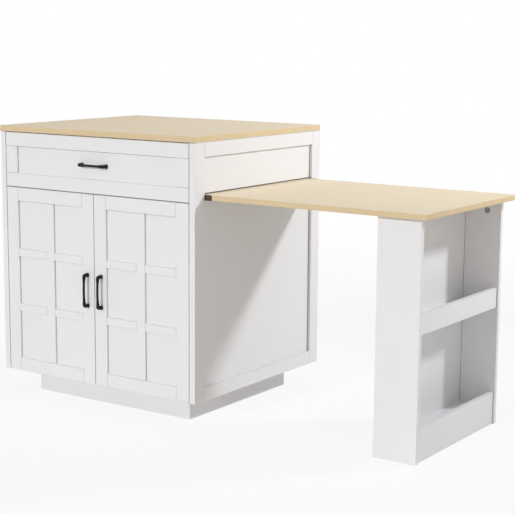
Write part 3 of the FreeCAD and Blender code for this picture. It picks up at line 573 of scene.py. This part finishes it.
def finish_mesh(bm: bmesh.types.BMesh, name: str) -> bpy.types.Object:
    """Turn a bmesh into an object at the origin, smooth but for its sharp edges.

    Args:
        bm: the shape, in the row frame. It is freed here.
        name: the object's name.

    Returns:
        The linked object.
    """
    bmesh.ops.recalc_face_normals(bm, faces=bm.faces[:])
    limit = math.radians(SHARP_DEGREES)
    for face in bm.faces:
        face.smooth = True
    for edge in bm.edges:
        edge.smooth = len(edge.link_faces) == 2 and edge.calc_face_angle(0.0) < limit
    mesh = bpy.data.meshes.new(name)
    bm.to_mesh(mesh)
    bm.free()
    piece = bpy.data.objects.new(name, mesh)
    bpy.context.scene.collection.objects.link(piece)
    return piece


def revolve(bm: bmesh.types.BMesh, outline: list[tuple[float, float]],
            steps: int) -> list[bmesh.types.BMVert]:
    """Spin an outline about Z.

    Args:
        bm: the bmesh that takes the shape.
        outline: radius and height of each corner, in order.
        steps: facets round the axis.

    Returns:
        The new vertices.
    """
    before = set(bm.verts)
    corners = [bm.verts.new((radius, 0.0, height)) for radius, height in outline]
    edges = [bm.edges.new(pair) for pair in zip(corners, corners[1:])]
    bmesh.ops.spin(bm, geom=corners + edges, cent=(0, 0, 0), axis=(0, 0, 1), dvec=(0, 0, 0),
                   angle=math.tau, steps=steps, use_merge=True, use_duplicate=False)
    fresh = [vert for vert in bm.verts if vert not in before]
    bmesh.ops.remove_doubles(bm, verts=fresh, dist=MERGE_DISTANCE)
    return [vert for vert in bm.verts if vert not in before]


@dataclass(frozen=True)
class CrossScrew:
    """A low pan head with a cross recess, its underside at Z = 0.

    recess is the depth of the cross and arm its length. crown is the flat top's share of the
    radius and dome the share of the height that slopes. taper is the share of the cross that
    reaches its floor.
    """

    radius: float = 0.0036
    height: float = 0.0018
    recess: float = 0.0011
    arm: float = 0.0022
    crown: float = 0.72
    dome: float = 0.45
    taper: float = 0.8
    facets: int = 12

    def add(self, bm: bmesh.types.BMesh, at: Vector, facing: Facing) -> None:
        """Add one head.

        Args:
            bm: the bmesh that takes it.
            at: middle of its underside.
            facing: which way it looks.
        """
        before = set(bm.verts)
        edges_before = set(bm.edges)
        bmesh.ops.create_circle(bm, cap_ends=False, segments=self.facets,
                                radius=self.radius * self.crown,
                                matrix=Matrix.Translation((0, 0, self.height)))
        crown_edges = [edge for edge in bm.edges if edge not in edges_before]
        rim_verts, rim_edges = self.extrude_loop(bm, crown_edges)
        bmesh.ops.scale(bm, vec=(1 / self.crown, 1 / self.crown, 1.0), verts=rim_verts)
        bmesh.ops.translate(bm, vec=(0, 0, -self.height * self.dome), verts=rim_verts)
        skirt_verts, skirt_edges = self.extrude_loop(bm, rim_edges)
        bmesh.ops.translate(bm, vec=(0, 0, -self.height * (1 - self.dome)), verts=skirt_verts)
        bmesh.ops.contextual_create(bm, geom=skirt_edges)
        cross = self.add_cross(bm)
        bmesh.ops.bridge_loops(bm, edges=crown_edges + cross)
        fresh = [vert for vert in bm.verts if vert not in before]
        bmesh.ops.transform(bm, matrix=Matrix.Translation(at) @ facing.turn(), verts=fresh)

    @staticmethod
    def extrude_loop(bm: bmesh.types.BMesh, edges: list[bmesh.types.BMEdge]
                     ) -> tuple[list[bmesh.types.BMVert], list[bmesh.types.BMEdge]]:
        """Extrude a loop of edges in place.

        Args:
            bm: the bmesh that holds it.
            edges: the loop.

        Returns:
            The vertices and the edges of the new loop.
        """
        made = bmesh.ops.extrude_edge_only(bm, edges=edges)["geom"]
        return ([item for item in made if isinstance(item, bmesh.types.BMVert)],
                [item for item in made if isinstance(item, bmesh.types.BMEdge)])

    def add_cross(self, bm: bmesh.types.BMesh) -> list[bmesh.types.BMEdge]:
        """Add the sunk cross.

        Args:
            bm: the bmesh that takes it.

        Returns:
            The edges of its mouth.
        """
        half = self.arm / 2
        known = set(bm.faces)
        bmesh.ops.create_grid(bm, x_segments=3, y_segments=3, size=half,
                              matrix=Matrix.Translation((0, 0, self.height)))
        middles = {face: face.calc_center_median() for face in bm.faces if face not in known}
        corners = [face for face, at in middles.items() if min(abs(at.x), abs(at.y)) > half / 2]
        bmesh.ops.delete(bm, geom=corners, context="FACES")
        plus = [face for face in middles if face.is_valid]
        mouth = [edge for edge in bm.edges if edge.is_boundary and edge.link_faces[0] in plus]
        sunk = bmesh.ops.extrude_face_region(bm, geom=plus)
        low = [item for item in sunk["geom"] if isinstance(item, bmesh.types.BMVert)]
        bmesh.ops.translate(bm, vec=(0, 0, -self.recess), verts=low)
        bmesh.ops.scale(bm, vec=(self.taper, self.taper, 1.0), verts=low)
        bmesh.ops.delete(bm, geom=[face for face in plus if face.is_valid], context="FACES_ONLY")
        return [edge for edge in mouth if edge.is_valid]


# ---------------------------------------------------------------- sub-assemblies


class Detail:
    """A kind of piece that the scene adds to the frame."""

    def build(self, finishes: FinishSet) -> list[bpy.types.Object]:
        """Build its pieces.

        Args:
            finishes: the finishes of the island.

        Returns:
            The new pieces.
        """
        raise NotImplementedError


@dataclass(frozen=True)
class BowHandle(Detail):
    """A bow pull: one bent rod that swells into the two feet.

    It is built with the bar along X, the door at Z = 0 and Z outwards, then set in place. spacing
    is the distance of the feet and reach the height of the bar's ends, which bow adds to in the
    middle. bend is the radius of the elbows' curve. flare_power shapes the feet, and taper_speed
    and taper_power the way from elbow to bar. The steps are the rings in half a handle.
    """

    node: str
    body: Body
    upright: bool
    spacing: float = 0.102
    reach: float = 0.018
    bow: float = 0.002
    bar_radius: float = 0.0039
    foot_radius: float = 0.007
    elbow_radius: float = 0.006
    bend: float = 0.0064
    flare_power: float = 1.6
    taper_speed: float = 2.2
    taper_power: float = 1.3
    leg_steps: int = 6
    elbow_steps: int = 8
    bar_steps: int = 16
    facets: int = 24

    def path(self) -> list[tuple[Vector, Vector, float]]:
        """Return places, headings and radii from one foot to the other."""
        half = self.spacing / 2
        leg = self.reach - self.bend
        stops = []
        for index in range(self.leg_steps + 1):
            height = leg * index / self.leg_steps
            flare = (1 - index / self.leg_steps) ** self.flare_power
            radius = self.elbow_radius + (self.foot_radius - self.elbow_radius) * flare
            stops.append((Vector((-half, 0, height)), Vector((0, 0, 1)), radius))
        slope = math.atan2(2 * self.bow, half - self.bend)
        for index in range(1, self.elbow_steps + 1):
            turn = (math.pi / 2 - slope) * index / self.elbow_steps
            at = Vector((self.bend * (1 - math.cos(turn)) - half, 0,
                         leg + self.bend * math.sin(turn)))
            stops.append((at, Vector((math.sin(turn), 0, math.cos(turn))), self.elbow_radius))
        start = stops[-1][0]
        top = self.reach + self.bow
        for index in range(1, self.bar_steps + 1):
            share = index / self.bar_steps
            at = Vector((start.x * (1 - share), 0, top - (top - start.z) * (1 - share) ** 2))
            heading = Vector((-start.x, 0, 2 * (top - start.z) * (1 - share))).normalized()
            thick = (1 - min(share * self.taper_speed, 1.0)) ** self.taper_power
            radius = self.bar_radius + (self.elbow_radius - self.bar_radius) * thick
            stops.append((at, heading, radius))
        mirrored = [(Vector((-at.x, 0, at.z)), Vector((heading.x, 0, -heading.z)), radius)
                    for at, heading, radius in reversed(stops[:-1])]
        return stops + mirrored

    def build(self, finishes: FinishSet) -> list[bpy.types.Object]:
        """Build the handle in place of its CAD node."""
        bm = bmesh.new()
        before: list[bmesh.types.BMEdge] = []
        for at, heading, radius in self.path():
            turn = Matrix.Rotation(math.atan2(heading.x, heading.z), 4, "Y")
            known = set(bm.edges)
            bmesh.ops.create_circle(bm, cap_ends=False, segments=self.facets, radius=radius,
                                    matrix=Matrix.Translation(at) @ turn)
            ring = [edge for edge in bm.edges if edge not in known]
            if before:
                bmesh.ops.bridge_loops(bm, edges=before + ring)
            before = ring
        bmesh.ops.holes_fill(bm, edges=[edge for edge in bm.edges if edge.is_boundary], sides=0)
        low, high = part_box(self.node)
        middle = (low + high) / 2
        turn = Matrix.Rotation(math.pi / 2, 4, "X")
        if self.upright:
            turn = Matrix.Rotation(math.pi / 2, 4, "Y") @ turn
        place = Matrix.Translation((middle.x, high.y, middle.z)) @ turn
        bmesh.ops.transform(bm, matrix=place, verts=bm.verts[:])
        piece = finish_mesh(bm, f"{self.node}_bow")
        finishes.dress(piece, "black_handle")
        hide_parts(self.node)
        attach(piece, self.body.value)
        return [piece]


@dataclass(frozen=True)
class HingeHardware(Detail):
    """Screws of the cup flanges and of the mounting plates inside the cupboard.

    flange_half is half the height of a cup's flange. flange_reach and plate_reach are how far
    above and below a hinge's middle its screws sit. plate_depth is how far behind the arms' front
    the plates' screws sit, and plate_inset how far they stand off the cupboard's side.
    """

    flange_half: float = 0.026
    flange_reach: float = 0.0205
    plate_reach: float = 0.016
    plate_depth: float = 0.047
    plate_inset: float = 0.004
    screw: CrossScrew = CrossScrew()

    def hinge_heights(self) -> list[float]:
        """Return the height of the middle of each hinge."""
        low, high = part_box("left_door_hinge_cups")
        return [low.z + self.flange_half, high.z - self.flange_half]

    def build_cup_screws(self, finishes: FinishSet, word: str, body: Body) -> bpy.types.Object:
        """Build the flange screws of one door's two cups.

        Args:
            finishes: the finishes of the island.
            word: the door's side, as its nodes' names begin.
            body: the door's body.

        Returns:
            The screws, as one piece.
        """
        low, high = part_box(f"{word}_door_hinge_cups")
        bm = bmesh.new()
        for height in self.hinge_heights():
            for side in (-1, 1):
                at = Vector(((low.x + high.x) / 2, high.y, height + side * self.flange_reach))
                self.screw.add(bm, at, Facing.BACK)
        return finishes.fit(bm, f"{word}_door_cup_screws", "nickel_steel", body)

    def build_plate_screws(self, finishes: FinishSet) -> bpy.types.Object:
        """Build the screws that hold the four plates to the sides.

        Args:
            finishes: the finishes of the island.

        Returns:
            The screws, as one piece.
        """
        low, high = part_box("hinge_arms")
        bm = bmesh.new()
        for side, facing, wall in ((-1, Facing.RIGHT, low.x), (1, Facing.LEFT, high.x)):
            for height in self.hinge_heights():
                for offset in (-1, 1):
                    at = Vector((wall - side * self.plate_inset, low.y + self.plate_depth,
                                 height + offset * self.plate_reach))
                    self.screw.add(bm, at, facing)
        return finishes.fit(bm, "hinge_plate_screws", "nickel_steel", Body.CABINET)

    def build(self, finishes: FinishSet) -> list[bpy.types.Object]:
        """Build all hinge screws."""
        return [
            self.build_cup_screws(finishes, "left", Body.LEFT_DOOR),
            self.build_cup_screws(finishes, "right", Body.RIGHT_DOOR),
            self.build_plate_screws(finishes),
        ]


@dataclass(frozen=True)
class DoorBuffers(Detail):
    """Soft round buffers on the backs of the doors, in the corners they close against.

    profile is the outline of half a buffer, in shares of its radius and height.
    """

    radius: float = 0.0042
    height: float = 0.0016
    inset_x: float = 0.014
    inset_z: float = 0.008
    profile: Outline = ((0.0, 0.0), (1.0, 0.0), (1.0, 0.35), (0.86, 0.75), (0.5, 0.96), (0.0, 1.0))
    facets: int = 24

    def build(self, finishes: FinishSet) -> list[bpy.types.Object]:
        """Build the buffers of both doors."""
        outline = [(self.radius * out, self.height * up) for out, up in self.profile]
        pieces = []
        for word, body, side in (("left", Body.LEFT_DOOR, 1), ("right", Body.RIGHT_DOOR, -1)):
            low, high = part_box(f"{word}_door_panel")
            free_edge = high.x if side > 0 else low.x
            bm = bmesh.new()
            for height in (low.z + self.inset_z, high.z - self.inset_z):
                at = Vector((free_edge - side * self.inset_x, high.y, height))
                bmesh.ops.transform(bm, matrix=Matrix.Translation(at) @ Facing.BACK.turn(),
                                    verts=revolve(bm, outline, self.facets))
            pieces.append(finishes.fit(bm, f"{word}_door_buffers", "glide_plastic", body))
        return pieces


@dataclass(frozen=True)
class BackFixings(Detail):
    """Screws round the edge of the back panel, inset from it, in columns and rows."""

    inset: float = 0.006
    columns: int = 5
    rows: int = 5
    screw: CrossScrew = CrossScrew(radius=0.0034, height=0.0010, recess=0.0008, arm=0.0020)

    def build(self, finishes: FinishSet) -> list[bpy.types.Object]:
        """Build the screws."""
        low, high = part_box("back_panel")
        bm = bmesh.new()
        left, right = low.x + self.inset, high.x - self.inset
        bottom, top = low.z + self.inset, high.z - self.inset
        for index in range(self.columns):
            across = left + (right - left) * index / (self.columns - 1)
            for height in (bottom, top):
                self.screw.add(bm, Vector((across, high.y, height)), Facing.BACK)
        for index in range(1, self.rows - 1):
            height = bottom + (top - bottom) * index / (self.rows - 1)
            for across in (left, right):
                self.screw.add(bm, Vector((across, high.y, height)), Facing.BACK)
        return [finishes.fit(bm, "back_panel_screws", "zinc_steel", Body.CABINET)]


@dataclass(frozen=True)
class CamShadeMarks(Detail):
    """Thin dark rims round the two cam locks in the rack sides, with a dark dot in each middle:
    painted shade, the rims for the shade round each cam's edge and the dots for the shade in its
    cross recess.

    inner and outer are the radii of the painted shade rim, and the dot has its own radius. proud is
    how far both stand off the board, shoulder the share of it below the chamfer, and chamfer the
    width of that on the rim. The dot's crown is the share of its radius that stays flat.
    """

    inner: float = 0.0062
    outer: float = 0.0080
    shade_dot: float = 0.0020
    proud: float = 0.0005
    shoulder: float = 0.6
    chamfer: float = 0.0004
    shade_dot_crown: float = 0.7
    rim_facets: int = 36
    shade_dot_facets: int = 20

    def build(self, finishes: FinishSet) -> list[bpy.types.Object]:
        """Build the painted shade rims and dots of both locks."""
        low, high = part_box("cam_fittings")
        radius = (high.x - low.x) / 2
        middle_x = (low.x + high.x) / 2
        cam_z = low.z + radius
        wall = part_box("rack_side_rear")[0].y
        ledge = self.proud * self.shoulder
        rim = [(self.outer, 0.0), (self.outer, ledge), (self.outer - self.chamfer, self.proud),
               (self.inner + self.chamfer, self.proud), (self.inner, ledge), (self.inner, 0.0),
               (self.outer, 0.0)]
        shade_dot = [(0.0, 0.0), (self.shade_dot, 0.0), (self.shade_dot, ledge),
                (self.shade_dot * self.shade_dot_crown, self.proud), (0.0, self.proud)]
        # Painted shade: a dark rim round each cam's edge and a dark dot on its middle, in the black
        # of the handles.
        bm = bmesh.new()
        for side, facing in ((-1, Facing.BACK), (1, Facing.FRONT)):
            verts = revolve(bm, rim, self.rim_facets) + revolve(bm, shade_dot, self.shade_dot_facets)
            at = Vector((middle_x, side * wall, cam_z))
            bmesh.ops.transform(bm, matrix=Matrix.Translation(at) @ facing.turn(), verts=verts)
        return [finishes.fit(bm, "cam_painted_shade", "black_handle", Body.TABLE)]


# ---------------------------------------------------------------- studio


@dataclass(frozen=True)
class Lamp:
    """A lamp of the studio."""

    name: str
    power: float
    colour: Colour

    def start(self, kind: str) -> bpy.types.Light:
        """Return the lamp's data, with its power and colour."""
        data = bpy.data.lights.new(self.name, kind)
        data.energy = self.power
        data.color = self.colour
        return data

    def hang(self, data: bpy.types.Light, place: Vector, heading: Vector) -> bpy.types.Object:
        """Put the lamp in the scene.

        Args:
            data: the lamp's data.
            place: where it hangs.
            heading: the direction of its light.

        Returns:
            The linked lamp.
        """
        lamp = bpy.data.objects.new(self.name, data)
        lamp.rotation_euler = heading.to_track_quat("-Z", "Y").to_euler()
        lamp.location = place
        bpy.context.scene.collection.objects.link(lamp)
        return lamp

    def build(self) -> bpy.types.Object:
        """Return the linked lamp."""
        raise NotImplementedError


@dataclass(frozen=True)
class DistantLamp(Lamp):
    """A far lamp that lights along one direction, with a spread in degrees."""

    direction: tuple[float, float, float]
    spread: float
    distance: float = 6.0

    def build(self) -> bpy.types.Object:
        """Return the linked lamp."""
        data = self.start("SUN")
        data.angle = math.radians(self.spread)
        heading = Vector(self.direction)
        return self.hang(data, -heading.normalized() * self.distance, heading)


@dataclass(frozen=True)
class SoftSpot(Lamp):
    """A soft lamp at a place, turned to a point, that fades away from its axis.

    radius is the size of the lamp and cone the width of its light, in degrees.
    """

    place: tuple[float, float, float]
    aim: tuple[float, float, float]
    radius: float
    cone: float

    def build(self) -> bpy.types.Object:
        """Return the linked lamp."""
        data = self.start("SPOT")
        data.shadow_soft_size = self.radius
        data.spot_size = math.radians(self.cone)
        data.spot_blend = 1.0
        place = Vector(self.place)
        return self.hang(data, place, Vector(self.aim) - place)


@dataclass
class Studio:
    """Floor, world, lamps and the camera at the photograph's place.

    The floor turns white from near_radius to far_radius, and near_white is the white share inside.
    The camera's angles are in degrees and its focal length is in pixels of the photograph.
    """

    sky: float = 0.405
    sky_colour: Colour = (1.0, 0.965, 0.93)
    floor_radius: float = 60.0
    floor_colour: Colour = (0.88, 0.86, 0.83)
    near_radius: float = 1.2
    far_radius: float = 4.0
    near_white: float = 0.86
    focal_px: float = 1358.63
    image_px: float = 515.0
    yaw: float = 34.56
    pitch: float = 9.42
    roll: float = 0.41
    eye: tuple[float, float, float] = (2.9063, -3.6420, 1.2344)
    lamps: tuple[Lamp, ...] = (
        SoftSpot("key_from_back_right", 350.0, (0.95, 0.97, 1.0), place=(2.95, 2.05, 2.55),
                 aim=(0.2, -0.1, 0.8), radius=0.19, cone=52.0),
        DistantLamp("side_fill", 0.24, (1.0, 0.97, 0.94), direction=(-1.0, 0.3, -0.1), spread=60.0),
        DistantLamp("front_light", 1.36, (0.95, 0.97, 1.0), direction=(0.08, 1.0, -0.34),
                    spread=5.0),
        DistantLamp("ceiling_light", 0.38, (0.97, 0.98, 1.0), direction=(0.0, 0.12, -1.0),
                    spread=30.0),
    )

    def seen_directly(self, nodes: Nodes) -> bpy.types.NodeSocket:
        """Return 1 for camera, glossy and transmission rays and 0 for the rest."""
        path = nodes.add("LightPath")
        most = nodes.math("MAXIMUM", path.outputs["Is Camera Ray"], path.outputs["Is Glossy Ray"])
        return nodes.math("MAXIMUM", most, path.outputs["Is Transmission Ray"])

    def build_world(self) -> None:
        """Light evenly, and show white to the camera and in reflections."""
        world = bpy.data.worlds.new("studio")
        world.use_nodes = True
        bpy.context.scene.world = world
        nodes = Nodes(world.node_tree)
        seen = self.seen_directly(nodes)
        strength = nodes.remap(seen, 0.0, 1.0, self.sky, 1.0)
        tint = nodes.blend(seen, colour4(self.sky_colour), (1.0, 1.0, 1.0, 1.0))
        background = nodes.add("Background", {"Color": tint, "Strength": strength})
        nodes.add("OutputWorld", {"Surface": background.outputs[0]})

    def build_floor(self) -> bpy.types.Object:
        """Lay a pale floor that turns to the white of the backdrop away from the object."""
        bm = bmesh.new()
        bmesh.ops.create_circle(bm, cap_ends=True, segments=96, radius=self.floor_radius)
        floor = finish_mesh(bm, "studio_floor")
        material = bpy.data.materials.new("studio_floor")
        material.use_nodes = True
        nodes = Nodes(material.node_tree)
        place = nodes.add("TexCoord").outputs["Object"]
        mottle = nodes.add("TexNoise", {"Vector": place, "Scale": 5.0, "Detail": 3.0})
        rough = nodes.remap(mottle.outputs["Fac"], 0.3, 0.7, 0.85, 0.95)
        matt = nodes.add("BsdfPrincipled", {"Base Color": colour4(self.floor_colour),
                                            "Roughness": rough, "Specular IOR Level": 0.1})
        white = nodes.add("Emission", {"Color": (1, 1, 1, 1), "Strength": 1.0})
        distance = nodes.add("VectorMath", {0: place}, operation="LENGTH").outputs["Value"]
        away = nodes.remap(distance, self.near_radius, self.far_radius, self.near_white, 1.0)
        share = nodes.math("MULTIPLY", self.seen_directly(nodes), away)
        surface = nodes.add("MixShader", {0: share, 1: matt.outputs[0], 2: white.outputs[0]})
        nodes.add("OutputMaterial", {"Surface": surface.outputs[0]})
        floor.data.materials.append(material)
        return floor

    def build_camera(self) -> bpy.types.Object:
        """Set the camera that fits the photograph's corners."""
        yaw, pitch, roll = (math.radians(angle) for angle in (self.yaw, self.pitch, self.roll))
        ahead = Vector((-math.sin(yaw) * math.cos(pitch), math.cos(yaw) * math.cos(pitch),
                        -math.sin(pitch)))
        right = Vector((math.cos(yaw), math.sin(yaw), 0))
        up = right.cross(ahead)
        across = right * math.cos(roll) + up * math.sin(roll)
        upward = up * math.cos(roll) - right * math.sin(roll)
        data = bpy.data.cameras.new("photo_camera")
        data.sensor_fit = "HORIZONTAL"
        data.sensor_width = 36.0
        data.lens = self.focal_px / self.image_px * data.sensor_width
        data.clip_end = 200.0
        camera = bpy.data.objects.new("photo_camera", data)
        turn = Matrix((across, upward, -ahead)).transposed().to_4x4()
        camera.matrix_world = Matrix.Translation(self.eye) @ turn
        bpy.context.scene.collection.objects.link(camera)
        bpy.context.scene.camera = camera
        return camera

    def build(self) -> None:
        """Build the whole studio."""
        bpy.context.scene.view_settings.view_transform = "Standard"
        self.build_world()
        self.build_floor()
        for lamp in self.lamps:
            lamp.build()
        self.build_camera()


def main() -> None:
    """Dress the frame, add the scene's own pieces and light them."""
    logging.basicConfig(level=logging.INFO, format="%(name)s: %(message)s")
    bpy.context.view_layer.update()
    finishes = FinishSet()
    finishes.build()
    for sub in frame["record"]["subparts"]:
        finishes.dress(frame["nodes"][sub["node"]], sub["material_slot"])
    LOG.info("dressed %d CAD nodes", len(frame["nodes"]))
    details: list[Detail] = [
        BowHandle("left_door_handle", Body.LEFT_DOOR, upright=True),
        BowHandle("right_door_handle", Body.RIGHT_DOOR, upright=True),
        BowHandle("drawer_handle", Body.DRAWER, upright=False),
        HingeHardware(),
        DoorBuffers(),
        BackFixings(),
        # painted shade on the cam locks
        CamShadeMarks(),
    ]
    for detail in details:
        for piece in detail.build(finishes):
            LOG.info("built %s with %d faces", piece.name, len(piece.data.polygons))
    Studio().build()


if __name__ == "__main__":
    main()
